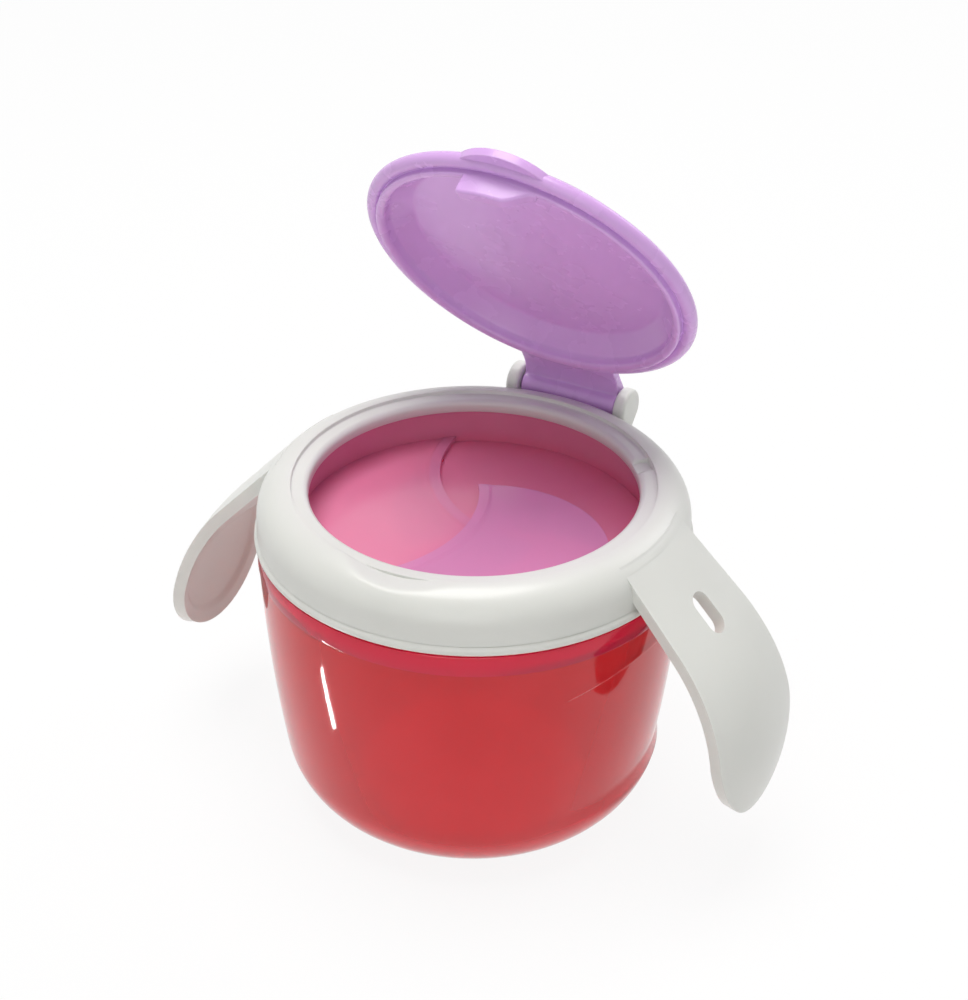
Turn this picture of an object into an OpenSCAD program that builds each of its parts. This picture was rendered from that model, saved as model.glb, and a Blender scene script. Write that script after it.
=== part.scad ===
// Toddler snack container: a translucent bowl, a snap-on collar with two handles,
// a soft insert with three overlapping flaps, and a flip lid.
// Millimetres. +Z is up and the origin is the middle of the bowl's base.
// The hinge is at +Y, the lid's finger tab at -Y and the handles at +X and -X.

/* [Bowl] */
// Height of the bowl's shoulder, which carries the collar
bowl_h = 66.2; // [60:0.5:84]
// Outer radius of the wall where it meets the rim band
bowl_r = 47.3; // [46:0.1:47.8]
// Slope of the wall from upright just under the band, in degrees
wall_lean = 1.6; // [0.5:0.1:4]
// Radius of the wall's gentle curve from the band down to the corner
wall_curve_r = 390; // [300:10:800]
// Radius of the round between the wall and the base
corner_r = 17; // [10:0.5:24]
// Wall thickness
bowl_wall = 2.2; // [1.6:0.1:3]
// Height of the plain band at the top of the bowl
band_h = 4.8; // [3:0.2:8]
// How far the band stands out from the wall
band_step = 0.2; // [0.1:0.1:1]
// Outer radius of the neck that the collar snaps over
neck_r = 44.7; // [43:0.1:45]
// Wall thickness of the neck
neck_wall = 1.6; // [1.2:0.1:2.4]
// Height of the neck above the shoulder
neck_h = 8; // [6:0.5:9]

/* [Grip recesses in the bowl's sides] */
// Deepest cut of each recess into the wall
grip_depth = 1.1; // [0.8:0.1:2]
// Radius of the recessed surface, seen from above
grip_r = 52; // [50:1:80]
// Top of the arched ledge, measured down from the shoulder
grip_drop = 11; // [8:0.5:20]
// Radius of the ledge's arch
grip_arch_r = 100; // [60:5:200]

/* [Collar] */
// Radius of the collar's lower flange
flange_r = 48; // [47:0.1:52]
// Height of the flange bead
flange_h = 2.4; // [1.6:0.1:4]
// Radius of the round between the collar's side and its crest
dome_r = 7.5; // [5:0.1:8.5]
// How far the side of the collar sits inside the flange
dome_step = 0.7; // [0.3:0.1:2]
// Height of the crest above the collar's lower edge
crest_h = 13.2; // [11:0.1:18]
// Radial clearance between the neck and the collar's skirt
skirt_gap = 0.5; // [0.3:0.1:1]
// Thickness of the inner lip that clamps the insert and carries the lid
lip_t = 3; // [2:0.1:5]
// Depth of the lid's seat below the crest
seat_drop = 0.9; // [0.5:0.1:2]
// Radius of the opening through the lip
throat_r = 35.9; // [30:0.1:37]
// Round on the inner edge of the lip
lip_round = 1.4; // [0.5:0.1:2]
// Half width of the thumb scoop in front
scoop_w = 11; // [8:0.5:16]
// Depth of the thumb scoop
scoop_d = 1.3; // [0.6:0.1:2.5]
// Width of the small notch in the lip, which keeps the closed lid from sealing
notch_w = 4.5; // [3:0.5:6]
// Direction of that notch, in degrees from +X towards the hinge
notch_angle = 40; // [20:1:60]

/* [Handles] */
// Thickness of a handle
handle_t = 2.8; // [2:0.1:4]
// Slope of the handle where it leaves the collar, in degrees below level
handle_slope = 46.5; // [35:1:60]
// Length of the straight stretch
handle_straight = 22; // [8:1:24]
// Radius of the first bend
bend1_r = 50; // [40:1:90]
// Turn of the first bend, in degrees
bend1_turn = 21; // [15:1:40]
// Radius of the bend near the tip
bend2_r = 43; // [20:1:60]
// Width of the handle where it leaves the collar
root_w = 24; // [20:0.5:36]
// Width of the handle at its widest
handle_w = 35; // [28:0.2:44]
// Level of the handle's widest place, measured down from the collar's lower edge
handle_drop = 27.5; // [18:0.5:34]
// How far the handles sit in front of the middle
handle_shift = 2; // [0:0.5:6]
// Depth of the dish in the inner face
dish_d = 0.8; // [0.4:0.1:1.4]
// Width of the rim left round the dish
dish_rim = 3.4; // [2:0.2:6]
// Length of the slot near the root
slot_l = 10; // [6:0.5:14]
// Width of the slot
slot_w = 5.2; // [3:0.2:8]
// Distance from the start of the straight stretch to the slot's middle
slot_at = 18.5; // [10:0.5:20]

/* [Hinge] */
// Distance of the hinge pins behind the middle of the container
pin_y = 47.5; // [46:0.1:49]
// Height of the hinge pins above the collar's lower edge
pin_h = 11.3; // [10:0.1:14]
// Radius of the pins moulded on the lid
pin_r = 1.6; // [1.2:0.1:2.2]
// Radial clearance of a pin in its ear
pin_gap = 0.08; // [0.02:0.01:0.1]
// Radius of the barrel between the ears
barrel_r = 3.1; // [2.6:0.1:3.4]
// Radius of an ear
ear_r = 4.7; // [4:0.1:6]
// Thickness of an ear
ear_t = 3; // [2:0.1:4]
// Width of the lid's hinge tab
tab_w = 24; // [16:0.5:30]
// Clearance between the hinge tab and each ear
tab_gap = 0.4; // [0.2:0.1:1]
// Wall left between the end of a pin's socket and the outside of the ear
socket_skin = 0.8; // [0.6:0.1:1.5]
// Clearance between a pin's end and the end of its socket
pin_end_gap = 0.3; // [0.1:0.1:0.6]

/* [Lid] */
// How far the lid stands open, in degrees from closed
lid_open = 57; // [0:0.5:110]
// Turn of the finger tab, latch and thumb scoop from the front towards +X, in degrees
front_turn = 5.5; // [0:0.5:10]
// Radial clearance between the lid and the step of its seat
lid_gap = 1.15; // [0.3:0.05:1.5]
// Clearance under the closed lid's rim
rim_gap = 0.5; // [0.2:0.1:1]
// Thickness of the rim
rim_t = 3.2; // [2:0.1:4]
// Height of the lid's top above its rim
crown_h = 4.2; // [2:0.1:8]
// Radius of the flat top
crown_r = 30; // [24:0.5:32]
// Wall thickness of the lid
lid_wall = 1.6; // [1.2:0.1:2.4]
// Radial clearance between the plug ring and the opening
plug_gap = 0.4; // [0.3:0.1:1]
// Thickness of the plug ring
plug_t = 1.5; // [1:0.1:2.5]
// Depth of the plug ring below the rim
plug_h = 1; // [0.6:0.1:5]
// Width of the latch tongue at the front of the plug ring
latch_w = 16; // [10:0.5:22]
// How much deeper the latch tongue goes than the plug ring
latch_h = 4; // [1:0.1:5]
// Half width of the finger tab where it leaves the rim
finger_w = 9; // [6:0.5:12]
// Reach of the finger tab beyond the rim
finger_l = 2.5; // [2:0.1:6]

/* [Insert] */
// Thickness of the clamped flange
insert_flange = 0.9; // [0.7:0.1:1.5]
// Clearance above and below the flange, and round it
insert_gap = 0.3; // [0.1:0.05:0.4]
// Inner radius of the insert's wall
well_r = 38.9; // [36:0.1:40]
// Thickness of the insert's wall
well_wall = 1.1; // [0.8:0.1:2]
// Depth from the lip's underside to the middle flap
well_depth = 8.7; // [5:0.1:14]
// Thickness of a flap
flap_t = 0.8; // [0.6:0.05:1.2]
// Step in height from one flap to the next
flap_step = 1.15; // [1:0.05:1.8]
// Width of the thicker edge of a flap
flap_edge_w = 2.6; // [1.5:0.1:4]
// How much thicker that edge is
flap_edge_t = 0.25; // [0.1:0.05:0.3]

/* [Hidden] */
$fn = 120;
round_fn = 48;
eps = 0.01;
far = 120;                                // longer than any cut has to be
over = 1;                                 // how far a cutter runs past the face it opens

// Levels
band_z = bowl_h - band_h;
neck_top = bowl_h + neck_h;
shoulder_gap = 0.2;                       // the collar's lower edge stands this far off the shoulder
collar_z = bowl_h + shoulder_gap;
seat_z = collar_z + crest_h - seat_drop;
lip_z = seat_z - lip_t;                   // underside of the lip
crest_z = collar_z + crest_h;
pin_z = collar_z + pin_h;

// Bowl: the wall's curve runs into the corner without a kink, at the slope foot_lean
wall_x = bowl_r - wall_curve_r * cos(wall_lean);
wall_z = band_z + wall_curve_r * sin(wall_lean);
foot_lean = asin((wall_z - corner_r) / (wall_curve_r - corner_r));
corner_x = wall_x + (wall_curve_r - corner_r) * cos(foot_lean);
wall_steps = 8;
corner_steps = 12;
neck_bore = neck_r - neck_wall;
bead_r = 0.5;                             // snap beads on the neck and in the skirt
bead_out = 0.2;
grip_x = grip_r - (bowl_r - grip_depth);
grip_z = bowl_h - grip_drop;

// Collar
skirt_r = neck_r + skirt_gap;
dome_out = flange_r - dome_step;
dome_x = dome_out - dome_r;
dome_z = crest_z - dome_r;
dome_steps = 16;
lip_steps = 8;
crest_in = 0.2;                           // the step stands this far inside the crest's highest line
seat_r = dome_x - crest_in;

// Handles: the outer face leaves the dome almost at a tangent, from a root inside the collar
leave = 90 - handle_slope;
root_sink = 0.06;
root_in = 1.5;
root_cover = 0.4;                         // least wall left between a root and the collar's bore
bend_steps = 6;                           // each bend is made of short straight steps
tip_turn = 54;                            // the last bend goes on past the tip by some way
tip_steps = 10;
tip_step = tip_turn / tip_steps;
handle_sector = 80;                       // part of a full turn that a handle is cut from
dish_top = 12;                            // the dish ends this far above the handle's widest place
start_x = dome_x + (dome_r - handle_t / 2 - root_sink) * cos(leave) - root_in * cos(handle_slope);
start_z = dome_z + (dome_r - handle_t / 2 - root_sink) * sin(leave) + root_in * sin(handle_slope);
bend1_x = start_x + handle_straight * cos(handle_slope) - bend1_r * cos(leave);
bend1_z = start_z - handle_straight * sin(handle_slope) - bend1_r * sin(leave);
turn2 = leave - bend1_turn;
bend2_x = bend1_x + (bend1_r - bend2_r) * cos(turn2);
bend2_z = bend1_z + (bend1_r - bend2_r) * sin(turn2);
wide_z = collar_z - handle_drop;

// Lid, in its closed place
lid_r = seat_r - lid_gap;
rim_z = seat_z + rim_gap;
plug_r = throat_r - plug_gap;
crown_z = rim_z + rim_t + crown_h;
ear_x = tab_w / 2 + tab_gap;
tab_t = 2;                                // thickness of the finger and hinge tabs
tab_root = 2;                             // how far both run in over the rim
ear_lean = 30;                            // where the web meets the ear, below level
ear_foot = 2;                             // depth of the web's foot below the dome's middle
ear_root = 2.4;                           // the web's foot starts this far inside the skirt's bore
tab_hug = 40;                             // where the hinge tab's top meets the barrel, above level
tab_curl = 50;                            // its underside follows the dome down to here, above level
tab_steps = 8;
crown_chamfer = [1.2, 0.8];               // soft edge between the flat top and the crown's slope
tab_z = crest_z + rim_gap;                // the hinge and finger tabs clear the crest by this much
socket_l = ear_t - socket_skin;
pin_end = ear_x + socket_l - pin_end_gap;
// The finger tab's round outline runs through its tip and the two places where it leaves the rim
finger_rise = lid_r + finger_l - sqrt(lid_r * lid_r - finger_w * finger_w);
finger_r = (finger_w * finger_w + finger_rise * finger_rise) / (2 * finger_rise);

// Insert
flange_top = lip_z - insert_gap;
flange_z = flange_top - insert_flange;
well_z = lip_z - well_depth;              // middle of the middle flap
well_out = well_r + well_wall;

// Flap outline, for the flap on top: a hollow front edge and a full back edge
hollow_r = 34.7;
hollow_at = [-35, -6];
full_r = 26;
full_at = [8, -8];
root_from = -118;                         // the root runs round the wall between these angles
root_to = 12;

function polar(r, a) = [r * cos(a), r * sin(a)];

// Points along an arc, at the ends of so many equal steps
function arc_points(middle, r, from, to, steps) =
    [for (i = [0:steps]) middle + polar(r, from + (to - from) * i / steps)];

// Part of a disc between two angles less than 180 degrees apart
module wedge(r, from, to) {
    polygon(concat([[0, 0]], arc_points([0, 0], r, from, to, 3)));
}

// ---- Bowl ----

// Half section of the bowl's body, its faces moved inwards by inset and outwards by widen
module body_2d(inset, widen) {
    polygon(concat(
        [[0, inset], [0, band_z]],
        arc_points([wall_x + widen, wall_z], wall_curve_r - inset, -wall_lean, -foot_lean, wall_steps),
        arc_points([corner_x + widen, corner_r], corner_r - inset, -foot_lean, -90, corner_steps)
    ));
}

// What the grip recess on the +X side takes away; inset moves its face inwards
module grip_cut(inset) {
    intersection() {
        difference() {
            translate([0, -far / 2, -over]) cube([far / 2, far, bowl_h]);
            translate([-grip_x, 0, 0]) rotate_extrude() body_2d(inset, grip_r - bowl_r);
        }
        translate([0, -handle_shift, grip_z - grip_arch_r + inset])
            rotate([0, 90, 0]) cylinder(h = far / 2, r = grip_arch_r);
        translate([0, 0, inset]) cylinder(h = band_z - inset, r = far);
    }
}

module both_sides() {
    children();
    mirror([1, 0, 0]) children();
}

module bowl() {
    color([0.84, 0.19, 0.27, 0.75])
    difference() {
        union() {
            difference() {
                rotate_extrude() body_2d(0, 0);
                both_sides() grip_cut(0);
            }
            translate([0, 0, band_z]) cylinder(h = band_h, r = bowl_r + band_step);
            translate([0, 0, band_z]) cylinder(h = neck_top - band_z, r = neck_r);
            translate([0, 0, bowl_h + neck_h / 2])
                rotate_extrude() translate([neck_r - bead_r + bead_out, 0]) circle(bead_r, $fn = round_fn);
        }
        // inside, which never widens below the neck
        difference() {
            rotate_extrude() intersection() {
                union() {
                    body_2d(bowl_wall, 0);
                    translate([0, band_z - eps]) square([neck_bore, far]);
                }
                square([neck_bore, far]);
            }
            both_sides() grip_cut(bowl_wall);
        }
    }
}

// ---- Collar ----

module collar_2d() {
    flange_round = flange_h / 2;
    // flange bead with a round outer edge
    translate([skirt_r, collar_z]) square([flange_r - flange_round - skirt_r, flange_h]);
    translate([flange_r - flange_round, collar_z + flange_round])
        circle(flange_round, $fn = round_fn);
    // side, dome and crest, then the step down to the lid's seat and the lip's rounded edge
    polygon(concat(
        [[skirt_r, collar_z + flange_round], [dome_out, collar_z + flange_round]],
        arc_points([dome_x, dome_z], dome_r, 0, 90, dome_steps),
        [[seat_r, crest_z], [seat_r, seat_z]],
        arc_points([throat_r + lip_round, seat_z - lip_round], lip_round, 90, 180, lip_steps),
        [[throat_r, lip_z], [skirt_r, lip_z]]
    ));
    // snap bead inside the skirt
    translate([skirt_r + bead_r - bead_out, bowl_h + neck_h / 4])
        circle(bead_r, $fn = round_fn);
}

// Line beside a handle's middle line, shift outwards of it, from the root to past the tip
function handle_line(shift) = concat(
    [[start_x, start_z] + polar(shift, leave)],
    arc_points([bend1_x, bend1_z], bend1_r + shift, leave, turn2, bend_steps),
    arc_points([bend2_x, bend2_z], bend2_r + shift, turn2 - tip_step, turn2 - tip_turn, tip_steps - 1)
);

// Section of a handle between two such lines; it is turned about the container's axis,
// which leaves the handle's faces dished
module handle_2d(inner, outer) {
    back = handle_line(inner);
    polygon(concat(handle_line(outer), [for (i = [len(back) - 1:-1:0]) back[i]]));
}

// Outline of a handle seen from its side, in Y and Z; inset moves it inwards all round
module handle_outline(inset) {
    root_z = dome_z + dome_r;
    rotate([90, 0, 90]) linear_extrude(height = far) translate([-handle_shift, 0]) {
        translate([0, wide_z]) circle(handle_w / 2 - inset);
        polygon([
            [-handle_w / 2 + inset, wide_z], [handle_w / 2 - inset, wide_z],
            [root_w / 2 - inset, root_z], [-root_w / 2 + inset, root_z],
        ]);
    }
}

module handle() {
    difference() {
        intersection() {
            rotate([0, 0, -handle_sector / 2]) rotate_extrude(angle = handle_sector)
                handle_2d(-handle_t / 2, handle_t / 2);
            handle_outline(0);
        }
        // dish in the inner face, kept below the slot
        intersection() {
            rotate([0, 0, -handle_sector / 2]) rotate_extrude(angle = handle_sector)
                handle_2d(-handle_t, dish_d - handle_t / 2);
            handle_outline(dish_rim);
            translate([0, -far, wide_z - far]) cube([far, 2 * far, far + dish_top]);
        }
        // slot
        translate([start_x, -handle_shift, start_z]) rotate([0, handle_slope, 0])
            translate([slot_at, 0, -far / 4]) {
            slot_end = (slot_l - slot_w) / 2;
            for (s = [-1, 1]) translate([s * slot_end, 0, 0]) cylinder(h = far / 2, r = slot_w / 2);
            translate([-slot_end, -slot_w / 2, 0]) cube([2 * slot_end, slot_w, far / 2]);
        }
    }
}

module ear() {
    along_x() cylinder(h = ear_t, r = ear_r);
    // web from the ear down to the collar's side
    translate([ear_x, 0, 0]) rotate([90, 0, 90]) linear_extrude(height = ear_t)
        polygon([
            [skirt_r - ear_root, dome_z - ear_foot], [dome_out - over, dome_z - ear_foot],
            [pin_y + ear_r * cos(ear_lean), pin_z - ear_r * sin(ear_lean)],
            [pin_y, pin_z], [pin_y - ear_r, pin_z],
        ]);
}

// Puts a cylinder on the hinge axis, starting at the inner face of the +X ear
module along_x() {
    translate([ear_x, pin_y, pin_z]) rotate([0, 90, 0]) children();
}

module collar() {
    color([0.92, 0.92, 0.91])
    difference() {
        union() {
            rotate_extrude() collar_2d();
            // the handles' and ears' roots end inside the collar's wall, clear of its bore
            difference() {
                both_sides() {
                    handle();
                    ear();
                }
                cylinder(h = lip_z + root_cover, r = skirt_r + root_cover);
            }
        }
        // sockets for the lid's pins
        both_sides() translate([-over, 0, 0]) along_x()
            cylinder(h = socket_l + over, r = pin_r + pin_gap);
        // room for the barrel and for the hinge tab to swing back
        translate([-ear_x, pin_y, pin_z]) rotate([0, 90, 0])
            cylinder(h = 2 * ear_x, r = barrel_r + tab_gap);
        // thumb scoop under the finger tab
        scoop_r = (scoop_w * scoop_w + scoop_d * scoop_d) / (2 * scoop_d);
        rotate([0, 0, front_turn]) translate([0, -seat_r - dome_r, crest_z + scoop_r - scoop_d])
            rotate([-90, 0, 0]) cylinder(h = dome_r, r = scoop_r);
        // notch across the lip
        rotate([0, 0, notch_angle]) translate([throat_r - over, -notch_w / 2, seat_z - seat_drop])
            cube([seat_r - throat_r + over, notch_w, seat_drop + over]);
    }
}

// ---- Soft insert ----

// Outline of the top flap; from and to say how far in from the hollow edge the shape reaches
module flap_2d(from, to) {
    intersection() {
        circle(well_r + well_wall / 2);
        union() {
            translate(full_at) circle(full_r);
            wedge(far, root_from, root_to);
        }
        difference() {
            translate(hollow_at) circle(hollow_r + to);
            translate(hollow_at) circle(hollow_r + from);
        }
    }
}

module flap(level) {
    translate([0, 0, well_z + level * flap_step - flap_t / 2]) {
        linear_extrude(height = flap_t) flap_2d(0, far);
        linear_extrude(height = flap_t + flap_edge_t) flap_2d(0, flap_edge_w);
    }
}

module flap_insert() {
    floor_z = well_z - flap_step - flap_t / 2;
    color([0.80, 0.55, 0.78, 0.8])
    union() {
        difference() {
            union() {
                translate([0, 0, flange_z])
                    cylinder(h = insert_flange, r = skirt_r - insert_gap - bead_out);
                translate([0, 0, floor_z]) cylinder(h = flange_top - floor_z, r = well_out);
            }
            translate([0, 0, floor_z - over]) cylinder(h = far, r = well_r);
        }
        // each flap lies over the next one round
        flap(1);
        rotate([0, 0, -120]) flap(0);
        rotate([0, 0, 120]) flap(-1);
    }
}

// ---- Lid ----

module lid_2d() {
    rim_round = rim_t / 2;
    difference() {
        union() {
            translate([0, rim_z]) square([lid_r - rim_round, rim_t]);
            translate([lid_r - rim_round, rim_z + rim_round]) circle(rim_round, $fn = round_fn);
            // crown
            polygon([
                [0, rim_z], [plug_r + over, rim_z + rim_t - eps],
                [crown_r + crown_chamfer.x, crown_z - crown_chamfer.y], [crown_r, crown_z], [0, crown_z],
            ]);
            translate([0, rim_z - plug_h]) square([plug_r, plug_h + eps]);
        }
        // hollow underside
        polygon([
            [0, rim_z - far], [plug_r - plug_t, rim_z - far], [plug_r - plug_t, rim_z + rim_t - lid_wall],
            [crown_r - over, crown_z - lid_wall], [0, crown_z - lid_wall],
        ]);
    }
}

module lid_closed() {
    rotate_extrude() lid_2d();
    // latch tongue: a taller, thicker stretch at the front of the plug ring
    intersection() {
        translate([0, 0, rim_z - plug_h - latch_h]) difference() {
            cylinder(h = plug_h + latch_h + rim_t / 2, r = plug_r);
            translate([0, 0, -over]) cylinder(h = far, r = plug_r - 2 * plug_t);
        }
        rotate([0, 0, front_turn]) translate([-latch_w / 2, -far, rim_z - far])
            cube([latch_w, far, 2 * far]);
    }
    // finger tab, rooted in the rim
    difference() {
        rotate([0, 0, front_turn]) translate([0, finger_r - lid_r - finger_l, tab_z])
            cylinder(h = tab_t, r = finger_r);
        translate([0, 0, tab_z - over]) cylinder(h = tab_t + 2 * over, r = lid_r - tab_root);
    }
    // hinge tab, barrel and pins
    translate([-tab_w / 2, 0, 0]) rotate([90, 0, 90]) linear_extrude(height = tab_w)
        polygon(concat(
            [[lid_r - tab_root, tab_z]],
            arc_points([dome_x, dome_z], dome_r + rim_gap, 90, tab_curl, tab_steps),
            [[pin_y, pin_z], [pin_y, pin_z] + polar(barrel_r, tab_hug)],
            [[pin_y, tab_z + tab_t], [lid_r - tab_root, tab_z + tab_t]]
        ));
    translate([-tab_w / 2, pin_y, pin_z]) rotate([0, 90, 0]) cylinder(h = tab_w, r = barrel_r);
    translate([-pin_end, pin_y, pin_z]) rotate([0, 90, 0]) cylinder(h = 2 * pin_end, r = pin_r);
}

module lid() {
    color([0.75, 0.58, 0.86])
    translate([0, pin_y, pin_z]) rotate([-lid_open, 0, 0]) translate([0, -pin_y, -pin_z])
        lid_closed();
}

bowl();
collar();
flap_insert();
lid();
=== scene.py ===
import bpy
import bmesh
from math import asin, atan2, cos, degrees, hypot, pi, radians, sin, sqrt
from mathutils import Matrix, Vector


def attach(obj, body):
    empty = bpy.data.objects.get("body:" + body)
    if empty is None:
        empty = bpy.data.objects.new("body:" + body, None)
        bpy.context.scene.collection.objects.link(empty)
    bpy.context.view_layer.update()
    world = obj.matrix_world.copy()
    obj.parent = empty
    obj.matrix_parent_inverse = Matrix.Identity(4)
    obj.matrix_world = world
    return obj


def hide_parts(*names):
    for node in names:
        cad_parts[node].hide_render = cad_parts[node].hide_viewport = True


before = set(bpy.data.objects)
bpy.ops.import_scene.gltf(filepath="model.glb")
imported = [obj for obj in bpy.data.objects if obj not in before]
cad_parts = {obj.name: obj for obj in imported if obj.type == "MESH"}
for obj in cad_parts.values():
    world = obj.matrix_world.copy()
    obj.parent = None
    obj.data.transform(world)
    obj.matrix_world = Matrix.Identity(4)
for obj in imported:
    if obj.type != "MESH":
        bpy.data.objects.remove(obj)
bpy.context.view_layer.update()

# Meshes are worked out in millimetres, +Z up, from the middle of the bowl's underside,
# and turned to metres when they are finished.
levels = {
    "shoulder": 66.2,  # the bowl's shoulder, which carries the collar
    "collar": 66.4,    # lower edge of the collar
    "crest": 79.6,     # highest line of the collar
    "lip": 75.7,       # underside of the lip that clamps the insert
    "seat": 78.7,      # where the lid sits
    "rim": 79.2,       # underside of the closed lid's rim
}
hinge = {"y": 47.5, "z": 77.7, "openBy": 57, "earStart": 12.4}
frontTurn = 5.5  # the thumb scoop, latch and finger tab are turned this far towards +X, in degrees


def arc(x, z, radius, start, end, steps):
    turn = [start + (end - start) * i / steps for i in range(steps + 1)]
    return [(x + radius * cos(radians(a)), z + radius * sin(radians(a))) for a in turn]


def smooth(value):
    value = min(1, max(0, value))
    return value * value * (3 - 2 * value)


def spinSection(section, steps):
    # a closed section of (radius, height) points, turned right round the Z axis
    bm = bmesh.new()
    verts = [bm.verts.new((x, 0, z)) for x, z in section]
    edges = [bm.edges.new((verts[i], verts[(i + 1) % len(verts)])) for i in range(len(verts))]
    bmesh.ops.spin(bm, geom=verts + edges, cent=(0, 0, 0), axis=(0, 0, 1),
                   angle=2 * pi, steps=steps, use_merge=True)
    bmesh.ops.remove_doubles(bm, verts=bm.verts, dist=0.0005)
    bmesh.ops.dissolve_degenerate(bm, edges=bm.edges, dist=0.0001)
    bmesh.ops.recalc_face_normals(bm, faces=bm.faces)
    return bm


def vertsOf(made):
    return [g for g in made["geom"] if isinstance(g, bmesh.types.BMVert)]


def moveEach(bm, place):
    for v in bm.verts:
        v.co = place(v.co.copy())


def openLid(bm):
    pin = Vector((0, hinge["y"], hinge["z"]))
    swing = Matrix.Rotation(radians(-hinge["openBy"]), 3, "X")
    bmesh.ops.rotate(bm, verts=bm.verts, cent=pin, matrix=swing)


def finish(bm, name, material, body, node, sharp=40):
    bmesh.ops.scale(bm, vec=(0.001, 0.001, 0.001), verts=bm.verts)
    mesh = bpy.data.meshes.new(name)
    bm.to_mesh(mesh)
    bm.free()
    piece = bpy.data.objects.new(name, mesh)
    bpy.context.scene.collection.objects.link(piece)
    mesh.materials.append(material)
    mesh.shade_smooth()
    mesh.set_sharp_from_angle(angle=radians(sharp))
    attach(piece, body)
    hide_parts(node)
    return piece


def addBevel(piece, width, segments=3, angle=40):
    bevel = piece.modifiers.new("Bevel", "BEVEL")
    bevel.width = width / 1000
    bevel.segments = segments
    bevel.limit_method = "ANGLE"
    bevel.angle_limit = radians(angle)


def linear(hexColour):
    parts = [int(hexColour[i:i + 2], 16) / 255 for i in (1, 3, 5)]
    return [c / 12.92 if c <= 0.04045 else ((c + 0.055) / 1.055) ** 2.4 for c in parts] + [1]


def addNode(tree, kind, settings=None, links=None):
    node = tree.nodes.new(kind)
    for key, value in (settings or {}).items():
        if key in node.inputs:
            node.inputs[key].default_value = value
        else:
            setattr(node, key, value)
    for key, source in (links or {}).items():
        tree.links.new(source, node.inputs[key])
    return node


def newMaterial(name, shader):
    material = bpy.data.materials.new(name)
    material.use_nodes = True
    tree = material.node_tree
    tree.nodes.clear()
    place = addNode(tree, "ShaderNodeTexCoord").outputs["Object"]
    principled = addNode(tree, "ShaderNodeBsdfPrincipled", shader)
    addNode(tree, "ShaderNodeOutputMaterial", {}, {"Surface": principled.outputs["BSDF"]})
    return material, tree, place, principled


def noise(tree, place, size, detail):
    # noise whose patches are about this many millimetres across
    node = addNode(tree, "ShaderNodeTexNoise", {"Scale": 1000 / size, "Detail": detail}, {"Vector": place})
    return node.outputs["Fac"]


def mouldedSurface(tree, place, principled, look):
    # cloudy change of colour over some millimetres, as pigment flows in the mould
    cloud = noise(tree, place, look["cloudSize"], 2.0)
    ramp = addNode(tree, "ShaderNodeValToRGB", {}, {"Fac": cloud})
    ramp.color_ramp.elements[0].position = 0.3
    ramp.color_ramp.elements[1].position = 0.7
    ramp.color_ramp.elements[0].color = linear(look["deep"])
    ramp.color_ramp.elements[1].color = linear(look["light"])
    colour = ramp.outputs["Color"]
    tree.links.new(colour, principled.inputs["Base Color"])
    # gloss that varies a little with handling
    wear = noise(tree, place, look["wearSize"], 4.0)
    low, high = look["gloss"]
    gloss = addNode(tree, "ShaderNodeMapRange", {"To Min": low, "To Max": high}, {"Value": wear})
    tree.links.new(gloss.outputs["Result"], principled.inputs["Roughness"])
    # the faint grain of the mould's surface
    grain = noise(tree, place, look["grainSize"], 2.0)
    strength = {"Strength": look["grain"], "Distance": 0.0001}
    bump = addNode(tree, "ShaderNodeBump", strength, {"Height": grain})
    tree.links.new(bump.outputs["Normal"], principled.inputs["Normal"])
    return colour


def paintedLightBetween(tree, place, principled, colour, low, high, hexColour, within=None):
    # a second tint mixed over the first between two heights, in millimetres: painted light, standing in
    # for how light shows through the translucent plastic there
    fade = 0.2

    def ramp(source, start, end):
        limits = {"From Min": start / 1000, "From Max": end / 1000}
        return addNode(tree, "ShaderNodeMapRange", limits, {"Value": source}).outputs["Result"]

    def times(first, second):
        product = addNode(tree, "ShaderNodeMath", {"operation": "MULTIPLY"})
        tree.links.new(first, product.inputs[0])
        tree.links.new(second, product.inputs[1])
        return product.outputs[0]

    level = addNode(tree, "ShaderNodeSeparateXYZ", {}, {"Vector": place})
    above = ramp(level.outputs["Z"], low - fade, low + fade)
    below = ramp(level.outputs["Z"], high + fade, high - fade)
    amount = times(above, below)
    if within:
        # only nearer to the axis than this radius
        plan = {"X": level.outputs["X"], "Y": level.outputs["Y"]}
        flat = addNode(tree, "ShaderNodeCombineXYZ", {}, plan).outputs["Vector"]
        reach = addNode(tree, "ShaderNodeVectorMath", {"operation": "LENGTH"}, {"Vector": flat})
        amount = times(amount, ramp(reach.outputs["Value"], within + fade, within - fade))
    second = {"Color2": linear(hexColour)}
    mix = addNode(tree, "ShaderNodeMixRGB", second, {"Fac": amount, "Color1": colour})
    tree.links.new(mix.outputs["Color"], principled.inputs["Base Color"])


def tintedPolypropylene():
    # injection-moulded see-through polypropylene: smooth and glossy, tinted cherry, faintly cloudy
    material, tree, place, principled = newMaterial("cherry see-through polypropylene, moulded", {
        "IOR": 1.49, "Transmission Weight": 0.62})
    colour = mouldedSurface(tree, place, principled, {
        "deep": "#EA1E2C", "light": "#F22C3A", "cloudSize": 28,
        "gloss": (0.05, 0.09), "wearSize": 9, "grainSize": 0.9, "grain": 0.02})
    # painted light: from the band up, the bowl is tinted a brighter magenta, a painted glow that also
    # lifts the shade under the collar's flange
    paintedLightBetween(tree, place, principled, colour, 61.4, 80, "#FA1A58")
    return material


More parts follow.
